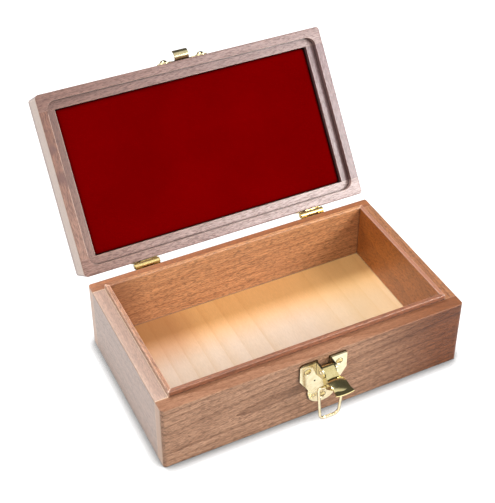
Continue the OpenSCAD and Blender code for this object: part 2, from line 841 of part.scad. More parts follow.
// Curl of the hook in side view: outward distance and height about the curl's centre
module curl_outline() {
    intersection() {
        difference() {
            circle(hook_r + plate_t);
            circle(hook_r);
        }
        translate([-2 * curl_out, -2 * curl_out]) square([4 * curl_out, 2 * curl_out]);
    }
    translate([hook_r, 0]) square([plate_t, hook_lip]);
}

// Strike with the rolled hook that the bail's cross wire drops into
module strike_plate() {
    swung_open() color(BRASS) {
        difference() {
            on_front(strike_z) linear_extrude(plate_t) strike_outline();
            strike_screw_places() shank_way(screw_r, plate_t);
        }
        intersection() {
            translate([catch_x, -case_d / 2 - curl_out, curl_z]) across_out(hook_w) curl_outline();
            on_front(curl_z - 2 * curl_out) linear_extrude(3 * curl_out) translate([-hook_w / 2, 0])
                eased_rect(hook_w, 2 * curl_out + hook_lip, 0, hook_round);
        }
    }
}

module strike_screws() swung_open() color(BRASS) strike_screw_places()
    dome_screw(dome_head_r, dome_head_h, screw_r, plate_t, screw_len);

base_front_board();
base_back_board();
base_left_board();
base_right_board();
front_liner();
back_liner();
left_liner();
right_liner();
floor_panel();
lid_front_board();
lid_back_board();
lid_left_board();
lid_right_board();
lid_top_panel();
pad_board();
velvet_pad();
left_hinge_base_leaf();
right_hinge_base_leaf();
left_hinge_lid_leaf();
right_hinge_lid_leaf();
left_hinge_pin();
right_hinge_pin();
hinge_base_screws();
hinge_lid_screws();
catch_plate();
catch_screws();
catch_lever();
lever_pin();
bail();
strike_plate();
strike_screws();
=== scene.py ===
# %% [markdown]
# # A walnut case for calibration weights
# The case stands open on a white table: a lined wooden box, a lid with a red velvet panel, two
# small butt hinges and a brass draw catch. The woodwork and the metalwork come from CAD as fixed
# solids in metres, one object for each piece. This script gives every piece its finish, makes the
# one soft piece in Blender, and sets up the table, the light and the camera.

import json
import math

import bmesh
import bpy
from mathutils import Matrix, Vector


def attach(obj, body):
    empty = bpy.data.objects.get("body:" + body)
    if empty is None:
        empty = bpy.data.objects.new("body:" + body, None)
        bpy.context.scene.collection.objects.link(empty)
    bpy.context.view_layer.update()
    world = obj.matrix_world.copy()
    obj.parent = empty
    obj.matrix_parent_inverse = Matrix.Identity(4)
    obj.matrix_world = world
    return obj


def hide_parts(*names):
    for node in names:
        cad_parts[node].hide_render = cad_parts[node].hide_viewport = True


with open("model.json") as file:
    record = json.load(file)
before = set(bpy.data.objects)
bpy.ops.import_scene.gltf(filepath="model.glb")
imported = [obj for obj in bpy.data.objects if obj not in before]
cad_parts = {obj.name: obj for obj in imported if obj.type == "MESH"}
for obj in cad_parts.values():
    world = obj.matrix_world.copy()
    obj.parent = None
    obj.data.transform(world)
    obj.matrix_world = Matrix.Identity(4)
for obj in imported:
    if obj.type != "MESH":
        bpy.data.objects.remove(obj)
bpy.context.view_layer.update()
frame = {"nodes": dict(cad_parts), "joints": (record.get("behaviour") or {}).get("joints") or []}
solids = frame["nodes"]

# %% [markdown]
# ## Colours and small helpers
# A shader reads linear light, but a maker matches a colour by eye on a screen. So every colour in
# this script is written on the 0 to 255 scale of a screen, and `tone` turns it into linear light.
# The other helpers only save typing: `node` adds a shader node with its settings, `link` joins
# two sockets, and the rest each set up one node that this script needs often.

# %% Colours, nodes and links
SCREEN_GAMMA = 2.2
MM = 0.001
GRID = 200  # pixels between two places in the node editor


def tone(red, green, blue):
    """A colour on the 0 to 255 scale of a screen, as the linear colour that a shader reads."""
    return tuple((part / 255) ** SCREEN_GAMMA for part in (red, green, blue)) + (1.0,)


def node(tree, kind, at, settings=None, values=None):
    """Adds a shader node at a place in the editor, with its settings and its socket values."""
    made = tree.nodes.new("ShaderNode" + kind)
    made.location = (at[0] * GRID, at[1] * GRID)
    for name, value in (settings or {}).items():
        setattr(made, name, value)
    for name, value in (values or {}).items():
        made.inputs[name].default_value = value
    return made


def link(tree, out_socket, in_socket):
    tree.links.new(out_socket, in_socket)


print("White on the screen is", tone(255, 255, 255)[:3])

# %% Groups, textures and blends
# A Mix node has its own sockets for each kind of data, and these are the ones for colours
MIX_SHARE, MIX_FIRST, MIX_SECOND, MIX_RESULT = 0, 6, 7, 2


def new_group(name, inputs, outputs):
    """Starts a shader node group. Inputs are (name, kind, value) and outputs are (name, kind)."""
    tree = bpy.data.node_groups.new(name, "ShaderNodeTree")
    for socket, kind, value in inputs:
        made = tree.interface.new_socket(
            name=socket, in_out="INPUT", socket_type="NodeSocket" + kind)
        if value is not None:
            made.default_value = value
    for socket, kind in outputs:
        tree.interface.new_socket(name=socket, in_out="OUTPUT", socket_type="NodeSocket" + kind)
    entry = tree.nodes.new("NodeGroupInput")
    entry.location = (-5 * GRID, 0)
    leave = tree.nodes.new("NodeGroupOutput")
    leave.location = (12 * GRID, 0)
    return tree, entry.outputs, leave.inputs


def noise(tree, at, vector, scale, detail=2.0, roughness=0.5):
    """A noise texture on a vector that is stretched by scale, one number for each axis."""
    stretch = node(tree, "VectorMath", (at[0], at[1]), {"operation": "MULTIPLY"})
    stretch.inputs[1].default_value = scale
    link(tree, vector, stretch.inputs[0])
    made = node(tree, "TexNoise", (at[0] + 1, at[1]), values={
        "Scale": 1.0, "Detail": detail, "Roughness": roughness})
    link(tree, stretch.outputs["Vector"], made.inputs["Vector"])
    return made.outputs["Fac"]


def remap(tree, at, value, low, high, to_low=0.0, to_high=1.0):
    """Maps low..high to to_low..to_high, smoothly, and holds the ends."""
    made = node(tree, "MapRange", at, {"interpolation_type": "SMOOTHSTEP"}, {
        "From Min": low, "From Max": high, "To Min": to_low, "To Max": to_high})
    link(tree, value, made.inputs["Value"])
    return made.outputs["Result"]


def math_node(tree, at, operation, first, second):
    """One calculation with two values, where either may be a socket or a number."""
    made = node(tree, "Math", at, {"operation": operation})
    for socket, value in zip(made.inputs, (first, second)):
        if isinstance(value, (int, float)):
            socket.default_value = value
        else:
            link(tree, value, socket)
    return made.outputs["Value"]


def blend_colours(tree, at, share, first, second, how="MIX"):
    """Mixes two colours by a share, where each may be a socket or a value."""
    made = node(tree, "Mix", at, {"data_type": "RGBA", "blend_type": how})
    for socket, value in ((MIX_SHARE, share), (MIX_FIRST, first), (MIX_SECOND, second)):
        if isinstance(value, (int, float, tuple)):
            made.inputs[socket].default_value = value
        else:
            link(tree, value, made.inputs[socket])
    return made.outputs[MIX_RESULT]


def grey_colour(tree, at, value):
    """The same value in red, green and blue, to lighten or darken a colour with."""
    made = node(tree, "CombineColor", at)
    for channel in ("Red", "Green", "Blue"):
        link(tree, value, made.inputs[channel])
    return made.outputs["Color"]


print("A Mix node blends the colours in its sockets", MIX_FIRST, "and", MIX_SECOND)

# %% [markdown]
# ## Wood, as a block that boards are cut from
# A board is a slice of a trunk. If a texture only paints stripes on the faces, the ends and the
# edges give it away. So this group is a solid pattern: the growth rings are shells about a pith
# that runs along X, the fibres and the pores are stretched along X, and each face shows whatever
# slice of them it cuts. A material's Mapping node says how the board lay in the trunk. A long
# board often runs from sapwood into heartwood, so the group can also multiply its colour by
# another one, more and more between two places along the grain. It gives a colour, a roughness
# and a height, and two woods use it: walnut and birch. Birch is the smoother one, so the shares of
# the pores and of the fine fibres are inputs too.

# %% The wood group
RING_PERIOD = 0.314  # metres between two rings of a Wave texture at scale 1
RING_SHARPNESS = 4.0
# How often each part of the pattern changes in a metre, along the board and across it
PATCHES_PER_METRE = (9, 60, 60)
STREAKS_PER_METRE = (40, 520, 520)
FIBRES_PER_METRE = (260, 2400, 2400)
PORES_PER_METRE = (300, 1700, 1700)
NOISE_SPREAD = (0.3, 0.72)  # nearly all values of the noises lie between these two
FIBRE_SPREAD = (0.28, 0.72)
PORE_CUT = (0.5, 0.63)  # where the noise is above these, there is a pore
PATCH_SHARE = 0.2
FIBRE_SHADES = (0.72, 1.24)  # what the darkest and the palest fibre multiply the colour by
PORE_ROUGHNESS = 0.25  # how much rougher the wood is in a pore


def make_wood_group():
    tree, given, result = new_group(
        "Wood cut from a trunk",
        [("Vector", "Vector", None), ("Early wood", "Color", tone(190, 140, 110)),
         ("Late wood", "Color", tone(120, 75, 50)), ("Pore", "Color", tone(70, 40, 25)),
         ("Ring scale", "Float", 90.0), ("Ring share", "Float", 0.5),
         ("Streak share", "Float", 0.5), ("Pore share", "Float", 0.6),
         ("Fibre share", "Float", 1.0), ("Base roughness", "Float", 0.5),
         ("Heart", "Color", (1, 1, 1, 1)),
         ("Heart from", "Float", 0.0), ("Heart to", "Float", 1.0)],
        [("Color", "Color"), ("Roughness", "Float"), ("Height", "Float")])
    at = given["Vector"]
    rings = node(tree, "TexWave", (0, 3), {
        "wave_type": "RINGS", "rings_direction": "X", "wave_profile": "SAW"}, {
        "Distortion": 4.0, "Detail": 2.0, "Detail Scale": 0.12, "Detail Roughness": 0.5})
    link(tree, at, rings.inputs["Vector"])
    link(tree, given["Ring scale"], rings.inputs["Scale"])
    ring_mask = math_node(tree, (2, 3), "POWER", rings.outputs["Fac"], RING_SHARPNESS)
    patches = noise(tree, (0, 2), at, PATCHES_PER_METRE)
    patches = remap(tree, (2, 2), patches, *NOISE_SPREAD)
    streaks = noise(tree, (0, 1), at, STREAKS_PER_METRE, detail=3.0, roughness=0.6)
    streaks = remap(tree, (2, 1), streaks, *NOISE_SPREAD)
    fibres = noise(tree, (0, 0), at, FIBRES_PER_METRE, roughness=0.7)
    pores = noise(tree, (0, -1), at, PORES_PER_METRE, detail=1.0)
    pores = remap(tree, (2, -1), pores, *PORE_CUT)
    # Rings and streaks together say how much of the colour is late wood
    ring_part = math_node(tree, (3, 3), "MULTIPLY", ring_mask, given["Ring share"])
    streak_part = math_node(tree, (3, 1), "MULTIPLY", streaks, given["Streak share"])
    wide = math_node(tree, (4, 3), "MULTIPLY", patches, PATCH_SHARE)
    late = math_node(tree, (4, 2), "ADD", ring_part, streak_part)
    late = math_node(tree, (5, 2), "ADD", late, wide)
    late = math_node(tree, (6, 2), "MINIMUM", late, 1.0)
    body = blend_colours(tree, (6, 1), late, given["Early wood"], given["Late wood"])
    # Fine fibres lighten and darken what is there by a little
    grey = grey_colour(tree, (4, 0), remap(tree, (3, 0), fibres, *FIBRE_SPREAD, *FIBRE_SHADES))
    body = blend_colours(tree, (7, 1), given["Fibre share"], body, grey, "MULTIPLY")
    pore_part = math_node(tree, (4, -1), "MULTIPLY", pores, given["Pore share"])
    body = blend_colours(tree, (8, 1), pore_part, body, given["Pore"])
    # A board can run from sapwood into darker heartwood along its length
    along = node(tree, "SeparateXYZ", (6, 3))
    link(tree, at, along.inputs["Vector"])
    drift = node(tree, "MapRange", (7, 3), {"interpolation_type": "SMOOTHSTEP"})
    link(tree, along.outputs["X"], drift.inputs["Value"])
    link(tree, given["Heart from"], drift.inputs["From Min"])
    link(tree, given["Heart to"], drift.inputs["From Max"])
    hearty = blend_colours(tree, (9, 2), 1.0, body, given["Heart"], "MULTIPLY")
    body = blend_colours(tree, (10, 1), drift.outputs["Result"], body, hearty)
    link(tree, body, result["Color"])
    rough = math_node(tree, (5, -2), "MULTIPLY", pore_part, PORE_ROUGHNESS)
    rough = math_node(tree, (6, -2), "ADD", rough, given["Base roughness"])
    link(tree, rough, result["Roughness"])
    # Fibres stand up by half as much as pores go down
    raised = math_node(tree, (4, -3), "MULTIPLY", fibres, 0.5)
    link(tree, math_node(tree, (5, -3), "SUBTRACT", raised, pores), result["Height"])
    return tree


wood_group = make_wood_group()
print("Group:", wood_group.name, "with", len(wood_group.nodes), "nodes")

# %% [markdown]
# ## Painted shade in corners, painted highlights on edges
# Inner corners, gaps and the hollows round screw heads are darkened with painted shade, where real
# ones lie in shadow, and outer edges are made paler with a painted highlight, as a rounded arris
# catches the light. The Ambient Occlusion node finds both: rays sent outwards meet something close
# by in a corner, and rays sent inwards leave the piece again close to an edge. The group takes any
# finish's colour and gives it back with both added.

# %% The group for corners and edges
SHADING_RAYS = 6  # for each sample of the render
# The share of rays that meet nothing where a corner is darkest and where it ends, and the same
# for an edge
CORNER_FREE = (0.4, 0.82)
EDGE_FREE = (0.6, 0.9)


def make_painted_shading_group():
    tree, given, result = new_group(
        "Corners and edges",
        [("Color", "Color", tone(190, 140, 110)), ("Corner tone", "Color", tone(66, 42, 36)),
         ("Corner reach", "Float", 1.5 * MM), ("Edge tone", "Color", tone(212, 180, 158)),
         ("Edge reach", "Float", 0.7 * MM), ("Edge share", "Float", 0.25)],
        [("Color", "Color")])
    outside = node(tree, "AmbientOcclusion", (0, 1), {"samples": SHADING_RAYS})
    link(tree, given["Corner reach"], outside.inputs["Distance"])
    inside = node(tree, "AmbientOcclusion", (0, -1), {
        "samples": SHADING_RAYS, "inside": True, "only_local": True})
    link(tree, given["Edge reach"], inside.inputs["Distance"])
    corner = remap(tree, (1, 1), outside.outputs["AO"], *CORNER_FREE, 1.0, 0.0)
    edge = remap(tree, (1, -1), inside.outputs["AO"], *EDGE_FREE, 1.0, 0.0)
    shaded = blend_colours(tree, (2, 1), 1.0, given["Color"], given["Corner tone"], "MULTIPLY")
    body = blend_colours(tree, (3, 0), corner, given["Color"], shaded)
    share = math_node(tree, (3, -1), "MULTIPLY", edge, given["Edge share"])
    link(tree, blend_colours(tree, (4, 0), share, body, given["Edge tone"]), result["Color"])
    return tree


painted_shading_group = make_painted_shading_group()
print("Group:", painted_shading_group.name, "with", len(painted_shading_group.nodes), "nodes")

# %% [markdown]
# ## A board's own wood
# Each board gets its own material, because no two boards of a real case come from the same place
# in the trunk. The Mapping node first undoes the lid's tilt where a board belongs to the lid, then
# turns the board so that its length lies along X, and last moves it away from the pith. A board
# that lies far from the pith shows almost straight lines, and one that leans a degree or two
# against the trunk shows the pointed arches of a flat-sawn face. Three finishes lie on the wood:
# satin varnish, a thin oil that hardly shines, and a thicker varnish that mirrors light softly.
# They could be painted as highlights, but a coat on the shader moves with the light as it should.

# %% How a board lay in the trunk
lid_hinge = next(joint for joint in frame["joints"] if joint["name"] == "lid_hinge")
LID_TILT = lid_hinge["range_deg"][1]  # degrees that the photographed lid stands open
NO_TILT = 0
ALONG_X = 0
ALONG_Y = -90
NO_LEAN = (0, 0)
AT_ORIGIN = (0, 0, 0)


def board_mapping(tree, grain, tilt, pith, lean):
    """Object coordinates turned so that X runs along the grain, with the pith on the X axis."""
    place = node(tree, "TexCoord", (-4, 0))
    turn = node(tree, "Mapping", (-3, 0), {"vector_type": "POINT"})
    angles = (tilt, lean[0], grain + lean[1])
    turn.inputs["Rotation"].default_value = [math.radians(angle) for angle in angles]
    turn.inputs["Location"].default_value = pith
    link(tree, place.outputs["Object"], turn.inputs["Vector"])
    return turn.outputs["Vector"]


def place_along(tree, axis, tilt):
    """How far a point lies along an axis of the world, or of the lid where a tilt is given."""
    apart = node(tree, "SeparateXYZ", (-3, 3))
    link(tree, board_mapping(tree, ALONG_X, tilt, AT_ORIGIN, NO_LEAN), apart.inputs["Vector"])
    return apart.outputs[axis]


print("The lid stands open by", LID_TILT, "degrees")

# %% Materials for boards
PORE_DEPTH = 0.15 * MM
SATIN = {"Coat Weight": 0.5, "Coat Roughness": 0.3}
OILED = {"Coat Weight": 0.1, "Coat Roughness": 0.3, "Specular IOR Level": 0.2}
VARNISHED = {"Coat Weight": 1.0, "Coat Roughness": 0.4}


def wood_material(name, cut, values, bump, finish=SATIN, shading_values=None):
    """A board's material, from how it was cut: its grain, its tilt, its pith and its lean."""
    material = bpy.data.materials.new(name)
    material.use_nodes = True
    tree = material.node_tree
    shader = tree.nodes["Principled BSDF"]
    wood = node(tree, "Group", (-2, 0), {"node_tree": wood_group}, values)
    link(tree, board_mapping(tree, *cut), wood.inputs["Vector"])
    # Painted shade in corners and painted highlights on edges
    shading = node(tree, "Group", (-1, 1), {"node_tree": painted_shading_group}, shading_values)
    link(tree, wood.outputs["Color"], shading.inputs["Color"])
    link(tree, shading.outputs["Color"], shader.inputs["Base Color"])
    link(tree, wood.outputs["Roughness"], shader.inputs["Roughness"])
    relief = node(tree, "Bump", (-1, -1), values={"Strength": bump, "Distance": PORE_DEPTH})
    link(tree, wood.outputs["Height"], relief.inputs["Height"])
    link(tree, relief.outputs["Normal"], shader.inputs["Normal"])
    for socket, value in finish.items():
        shader.inputs[socket].default_value = value
    return material


def dress(name, material):
    """Gives a CAD solid its finish."""
    mesh = solids[name].data
    mesh.materials.clear()
    mesh.materials.append(material)


WALNUT = {
    "Early wood": tone(190, 146, 122), "Late wood": tone(120, 78, 56), "Pore": tone(66, 40, 28),
    "Ring scale": 70.0, "Ring share": 0.45, "Streak share": 0.34, "Pore share": 0.46,
    "Base roughness": 0.42,
}
print("A walnut ring is", round(RING_PERIOD / WALNUT["Ring scale"] * 1000, 1), "mm wide")

# %% [markdown]
# ## The base's frame
# Four walnut boards: the front and the back run the full width, the sides stand between them, so
# the seams show on the rim. The front board is oiled and grows darker towards its right end, the
# left one is varnished, catches the light of a softbox and has a painted highlight on its arris,
# and the back one has a pale stretch of sapwood. Light and shade are painted on the rims and on
# the left face: `tint_side` colours what lies beyond a plane, on top of the wood's own pattern, so
# that the front board's rim takes a painted shade, the left board's rim and the left ends of the
# front and back boards take a pale painted sheen, the back board's rim a warmer tint, and the left
# board's left face a darker tint. A second material on those faces would do it too, but it would
# have to match the grain across the edge. The planes are measured on the solids, so that they
# follow the CAD.

# %% Measure a solid
X, Y, Z = 0, 1, 2
UNTURNED = Matrix.Identity(3)
LAID_FLAT = Matrix.Rotation(math.radians(LID_TILT), 3, "X")  # undoes the lid's tilt


def end_of(name, axis, pick, turn=UNTURNED):
    """The lowest or highest place of a solid along an axis, where pick is min or max."""
    return pick((turn @ v.co)[axis] for v in solids[name].data.vertices)


def band_under(top):
    """Two heights just under a board's top face, between which a tint grows to its full share."""
    return (top - 0.8 * MM, top - 0.2 * MM)


RIM_HEIGHT = end_of("base_front_board", Z, max)
LEFT_END = end_of("base_left_board", X, min)
LEFT_BAND = (LEFT_END + 0.4 * MM, LEFT_END + 0.1 * MM)
print("The base's rim is", round(RIM_HEIGHT * 1000, 1), "mm high")

# %% The base's boards
# For each board: where its length lies, where its pith lies, its lean, its early and late wood
BASE_BOARDS = {
    "base_front_board": (
        ALONG_X, (0.1, 0.055, -0.03), (4.5, 1.3), tone(174, 134, 107), tone(102, 67, 46)),
    "base_back_board": (
        ALONG_X, (0.7, -0.08, -0.02), (0.6, -0.8), tone(152, 86, 44), tone(102, 54, 24)),
    "base_left_board": (
        ALONG_Y, (1.3, 0.06, -0.12), (-0.8, 1.0), tone(173, 133, 108), tone(113, 77, 55)),
    "base_right_board": (
        ALONG_Y, (1.9, -0.09, -0.03), (0.5, 1.1), tone(168, 114, 76), tone(114, 67, 41)),
}
SAPWOOD = {"Heart": (1.1, 1.3, 1.9, 1.0), "Heart from": 0.7, "Heart to": 0.59}
# The front board grows darker towards its right end
RIGHT_END_DARKER = {"Ring share": 0.52, "Heart": (0.38, 0.2, 0.09, 1.0), "Heart from": 0.12,
             "Heart to": 0.21}
DRIFTS = {"base_front_board": RIGHT_END_DARKER, "base_back_board": SAPWOOD}
FINISHES = {"base_front_board": OILED, "base_left_board": VARNISHED}
# A painted highlight along the left board's arris, where the softbox's light catches it
ARRIS_PAINTED_HIGHLIGHT = {"Edge tone": tone(240, 202, 150), "Edge reach": 1.1 * MM, "Edge share": 0.7}
BASE_PAINTED_HIGHLIGHT = {"base_left_board": ARRIS_PAINTED_HIGHLIGHT}
BASE_RELIEF = 0.5
# How much of the tint the rim and the left face take, and the tint itself: painted shade on the
# front rim, painted sheen on the left rim and on the left ends of the front and back boards
RIM_PAINTED_SHADE_AND_SHEEN = {
    "base_front_board": (0.55, tone(140, 92, 66)),
    "base_left_board": (0.4, tone(196, 168, 154)),
    "base_back_board": (0.25, tone(180, 122, 84)),
}
LEFT_FACE_SHEEN_AND_TINT = {
    "base_front_board": (0.85, tone(190, 160, 140)),
    "base_left_board": (0.35, tone(104, 66, 40)),
    "base_back_board": (0.85, tone(186, 150, 126)),
}
print("Boards in the base:", len(BASE_BOARDS), "of which", len(RIM_PAINTED_SHADE_AND_SHEEN), "have a tinted rim")


# %% Dress the base's frame
def tint_side(material, axis, band, share, side_tone, tilt=NO_TILT):
    """Tints the part of a piece beyond a plane: a rim, end grain or a stretch of a board."""
    tree = material.node_tree
    coloured = tree.nodes["Principled BSDF"].inputs["Base Color"]
    beyond = remap(tree, (-2, 3), place_along(tree, axis, tilt), *band, 0.0, share)
    before = coloured.links[0].from_socket
    link(tree, blend_colours(tree, (-1, 3), beyond, before, side_tone), coloured)


for name, (grain, pith, lean, early, late) in BASE_BOARDS.items():
    values = dict(WALNUT, **{"Early wood": early, "Late wood": late}, **DRIFTS.get(name, {}))
    walnut = wood_material("walnut_" + name, (grain, NO_TILT, pith, lean), values, BASE_RELIEF,
                           FINISHES.get(name, SATIN), BASE_PAINTED_HIGHLIGHT.get(name))
    if name in RIM_PAINTED_SHADE_AND_SHEEN:
        tint_side(walnut, "Z", band_under(RIM_HEIGHT), *RIM_PAINTED_SHADE_AND_SHEEN[name])
    if name in LEFT_FACE_SHEEN_AND_TINT:
        tint_side(walnut, "X", LEFT_BAND, *LEFT_FACE_SHEEN_AND_TINT[name])
    dress(name, walnut)
print("Dressed:", ", ".join(BASE_BOARDS))

# %% [markdown]
# ## The lining
# Thin walnut boards inside the frame, which stand 4 mm proud of the rim as the lip that the lid
# drops over. They are planed from straight-grained wood of a warmer colour, so their pith is far
# away and fine streaks show more than rings. The right one is the odd one out, a flat-sawn board
# with wide rings, and its top takes a pale painted sheen. In the back one two thin twigs were cut
# across, which leaves pin knots, and its left end is darkened with painted shade, where it stands
# in the back left corner. The arrises of the left, back and right ones carry painted highlights,
# and the gap beside the left one is darkened with painted shade.

# %% Pin knots
# For each knot its middle, in metres, and how far it reaches
PIN_KNOTS = [((0.0515, 0.0503, 0.0512), 1.6 * MM), ((0.0917, 0.0503, 0.0244), 1.1 * MM)]
SPOT_CORE = 0.3  # the part of its reach in which a knot is evenly dark


def add_knots_and_painted_shade(material, knots, share=0.85, spot_tone=tone(72, 34, 16)):
    """Darkens soft round spots: knots, where twigs were cut across, patches of darker wood, and
    painted shade.
    """
    tree = material.node_tree
    colour = tree.nodes["Principled BSDF"].inputs["Base Color"]
    place = node(tree, "TexCoord", (-4, 3)).outputs["Object"]
    for row, (middle, reach) in enumerate(knots):
        away = node(tree, "VectorMath", (-3, 3 + row), {"operation": "DISTANCE"})
        away.inputs[1].default_value = middle
        link(tree, place, away.inputs[0])
        core = SPOT_CORE * reach
        spot = remap(tree, (-2, 3 + row), away.outputs["Value"], core, reach, share, 0.0)
        darker = blend_colours(tree, (-1, 3 + row), spot, colour.links[0].from_socket, spot_tone)
        link(tree, darker, colour)


print("Pin knots:", len(PIN_KNOTS))

# %% The lining's boards
LINING = dict(WALNUT, **{
    "Ring share": 0.4, "Streak share": 0.38, "Pore share": 0.5, "Base roughness": 0.45})
LINING_LEAN = (0.4, 0.6)
LINING_RELIEF = 0.35
# For each board: where its length lies, where its pith lies, its early and late wood
LINERS = {
    "front_liner": (ALONG_X, (0.2, 0.2, -0.1), tone(160, 104, 76), tone(104, 62, 42)),
    "back_liner": (ALONG_X, (0.9, -0.2, 0.1), tone(202, 144, 98), tone(145, 87, 52)),
    "left_liner": (ALONG_Y, (1.5, 0.2, -0.1), tone(190, 138, 108), tone(130, 84, 58)),
    "right_liner": (ALONG_Y, (2.2, -0.2, 0.1), tone(167, 95, 36), tone(121, 63, 22)),
}
FLAT_SAWN = {"Ring scale": 24.0, "Streak share": 0.2}
FLAT_SAWN_LEAN = (5.0, 7.0)
# Painted highlights on the lining's arrises, and painted shade in the gap beside the left liner
LINER_ARRIS_PAINTED_HIGHLIGHT = {"Edge tone": tone(240, 206, 184), "Edge reach": 0.9 * MM}
GAP_PAINTED_SHADE = {"Corner tone": tone(50, 28, 20), "Corner reach": 3 * MM}
LINER_PAINTED_SHADING = {
    "left_liner": dict(LINER_ARRIS_PAINTED_HIGHLIGHT, **{"Edge share": 0.75}, **GAP_PAINTED_SHADE),
    "back_liner": dict(LINER_ARRIS_PAINTED_HIGHLIGHT, **{"Edge share": 0.35}),
    "right_liner": dict(LINER_ARRIS_PAINTED_HIGHLIGHT, **{"Edge share": 0.45}),
}
# Painted shade at the back liner's left end, in the back left corner
BACK_LINER_PAINTED_SHADE = ((-70 * MM, -100 * MM), 0.55, tone(104, 54, 30))
# A pale painted sheen on the right liner's top
RIGHT_LINER_PAINTED_SHEEN = (band_under(end_of("right_liner", Z, max)), 0.6, tone(160, 116, 100))
flat_sawn_ring = RING_PERIOD / FLAT_SAWN["Ring scale"]
print("A ring in the flat-sawn liner is", round(flat_sawn_ring * 1000, 1), "mm wide")

# %% Dress the lining
for name, (grain, pith, early, late) in LINERS.items():
    values = dict(LINING, **{"Early wood": early, "Late wood": late})
    lean = LINING_LEAN
    if name == "right_liner":
        values.update(FLAT_SAWN)
        lean = FLAT_SAWN_LEAN
    lined = wood_material("lining_" + name, (grain, NO_TILT, pith, lean), values, LINING_RELIEF,
                          SATIN, LINER_PAINTED_SHADING.get(name))
    if name == "back_liner":
        add_knots_and_painted_shade(lined, PIN_KNOTS)
        tint_side(lined, "X", *BACK_LINER_PAINTED_SHADE)
    if name == "right_liner":
        tint_side(lined, "Z", *RIGHT_LINER_PAINTED_SHEEN)
    dress(name, lined)
print("Dressed:", ", ".join(LINERS))

# %% [markdown]
# ## The floor and the pad's board
# Birch plywood. Its face is a veneer peeled round the trunk, so its figure is wide, soft and
# wavy: the rings lie almost flat in the face, and a small lean is enough to draw them out. Birch
# has hardly any pores, and it is pale. The grain runs from front to back. Light and shade are
# painted on it too: towards the back it turns orange with painted warm shade, from left to right
# it gets lighter and yellower with painted light, and its back left corner is darker with painted
# shade, which is one wide soft spot from the helper that makes knots.

# %% Dress the plywood
BIRCH = {
    "Early wood": tone(208, 186, 164), "Late wood": tone(192, 160, 123),
    "Pore": tone(196, 150, 104), "Ring scale": 26.0, "Ring share": 0.42, "Streak share": 0.12,
    "Pore share": 0.06, "Fibre share": 0.25, "Base roughness": 0.5,
    # Towards the back the floor drifts to orange: painted warm shade. The pad's board shares it.
    "Heart": (1.08, 0.74, 0.34, 1.0), "Heart from": 0.0, "Heart to": 0.035,
}
BIRCH_RELIEF = 0.15
FLOOR_CUT = (ALONG_Y, NO_TILT, (0.0, 0.02, 0.03), (9.0, 0.0))
PAD_BOARD_CUT = (ALONG_X, LID_TILT, (0.5, 0.02, 0.03), (2.5, 3.0))
# Painted light: the floor gets lighter and yellower towards the right
FLOOR_RIGHT_PAINTED_LIGHT = ((20 * MM, 90 * MM), 0.4, tone(255, 214, 140))
# Painted shade in the floor's back left corner
FLOOR_CORNER_PAINTED_SHADE = ((-0.080, 0.040, end_of("floor_panel", Z, max)), 48 * MM)

floor_birch = wood_material("birch_plywood", FLOOR_CUT, BIRCH, BIRCH_RELIEF, VARNISHED)
tint_side(floor_birch, "X", *FLOOR_RIGHT_PAINTED_LIGHT)
add_knots_and_painted_shade(floor_birch, [FLOOR_CORNER_PAINTED_SHADE], 0.5, tone(150, 92, 54))
dress("floor_panel", floor_birch)
dress("pad_board", wood_material("birch_pad_board", PAD_BOARD_CUT, BIRCH, BIRCH_RELIEF))
print("A birch ring is", round(RING_PERIOD / BIRCH["Ring scale"] * 1000, 1), "mm wide")

# %% [markdown]
# ## The lid
# A frame of thicker walnut boards with a rebated rim, under a top panel. The rim that faces the
# viewer is pale sapwood with fine specks, and each board drifts to another shade along its length.
# All boards of the lid were cut while it lay flat, so their patterns are turned with the lid.
# The rebate reads as one fine dark line, which is painted shade: corners are darkened over a
# little more distance here. On the left board the light catches the arris instead, which is
# painted as a pale highlight, the ledge behind it is painted a greyer shade, and three soft dark
# spots show where a branch grew close by. The lid's left face is paler with a painted sheen, as
# the base's is.
# The rays that find an arris also find the seam where two boards meet, and a painted highlight
# there looks wrong. So `spare_seams` fades the painted highlight at both ends of the left board.

# %% The lid's boards
# For each board: where its length lies, where its pith lies, the two places along the grain
# between which it drifts to its heart colour, its early and late wood
LID_BOARDS = {
    "lid_front_board": (
        ALONG_X, (0.3, 0.12, 0.05), (0.42, 0.18), tone(149, 122, 116), tone(103, 71, 63)),
    "lid_back_board": (
        ALONG_X, (1.1, -0.12, 0.06), (1.13, 0.96), tone(165, 140, 133), tone(116, 81, 70)),
    "lid_left_board": (
        ALONG_Y, (1.7, 0.10, 0.07), (1.6, 1.48), tone(149, 111, 94), tone(101, 66, 52)),
    "lid_right_board": (
        ALONG_Y, (2.4, -0.10, 0.06), (2.2, 2.36), tone(125, 96, 97), tone(90, 60, 53)),
    "lid_top_panel": (
        ALONG_X, (0.8, 0.03, -0.07), (9.0, 9.5), tone(162, 130, 114), tone(106, 74, 62)),
}
LID_WOOD = dict(WALNUT, **{
    "Ring share": 0.3, "Streak share": 0.26, "Pore share": 0.6, "Pore": tone(84, 52, 42),
    "Heart": (0.7, 0.52, 0.42, 1.0)})
LID_LEAN = (0.7, 1.2)
LID_RELIEF = 0.45
# Painted shade in the rebate's corners, and faint painted highlights on the edges
LID_PAINTED_SHADING = {"Corner tone": tone(84, 44, 32), "Corner reach": 2.0 * MM, "Edge share": 0.18}
# A painted highlight on the left board's arris
LIT_ARRIS = {"Edge tone": tone(232, 200, 180), "Edge share": 0.5}
LID_RIM = end_of("lid_left_board", Z, min, LAID_FLAT)
# Painted shade on the ledge behind the left board's arris
LEDGE_PAINTED_SHADE = ((LID_RIM + 0.43 * MM, LID_RIM + 1.43 * MM), 0.3, tone(112, 94, 92))
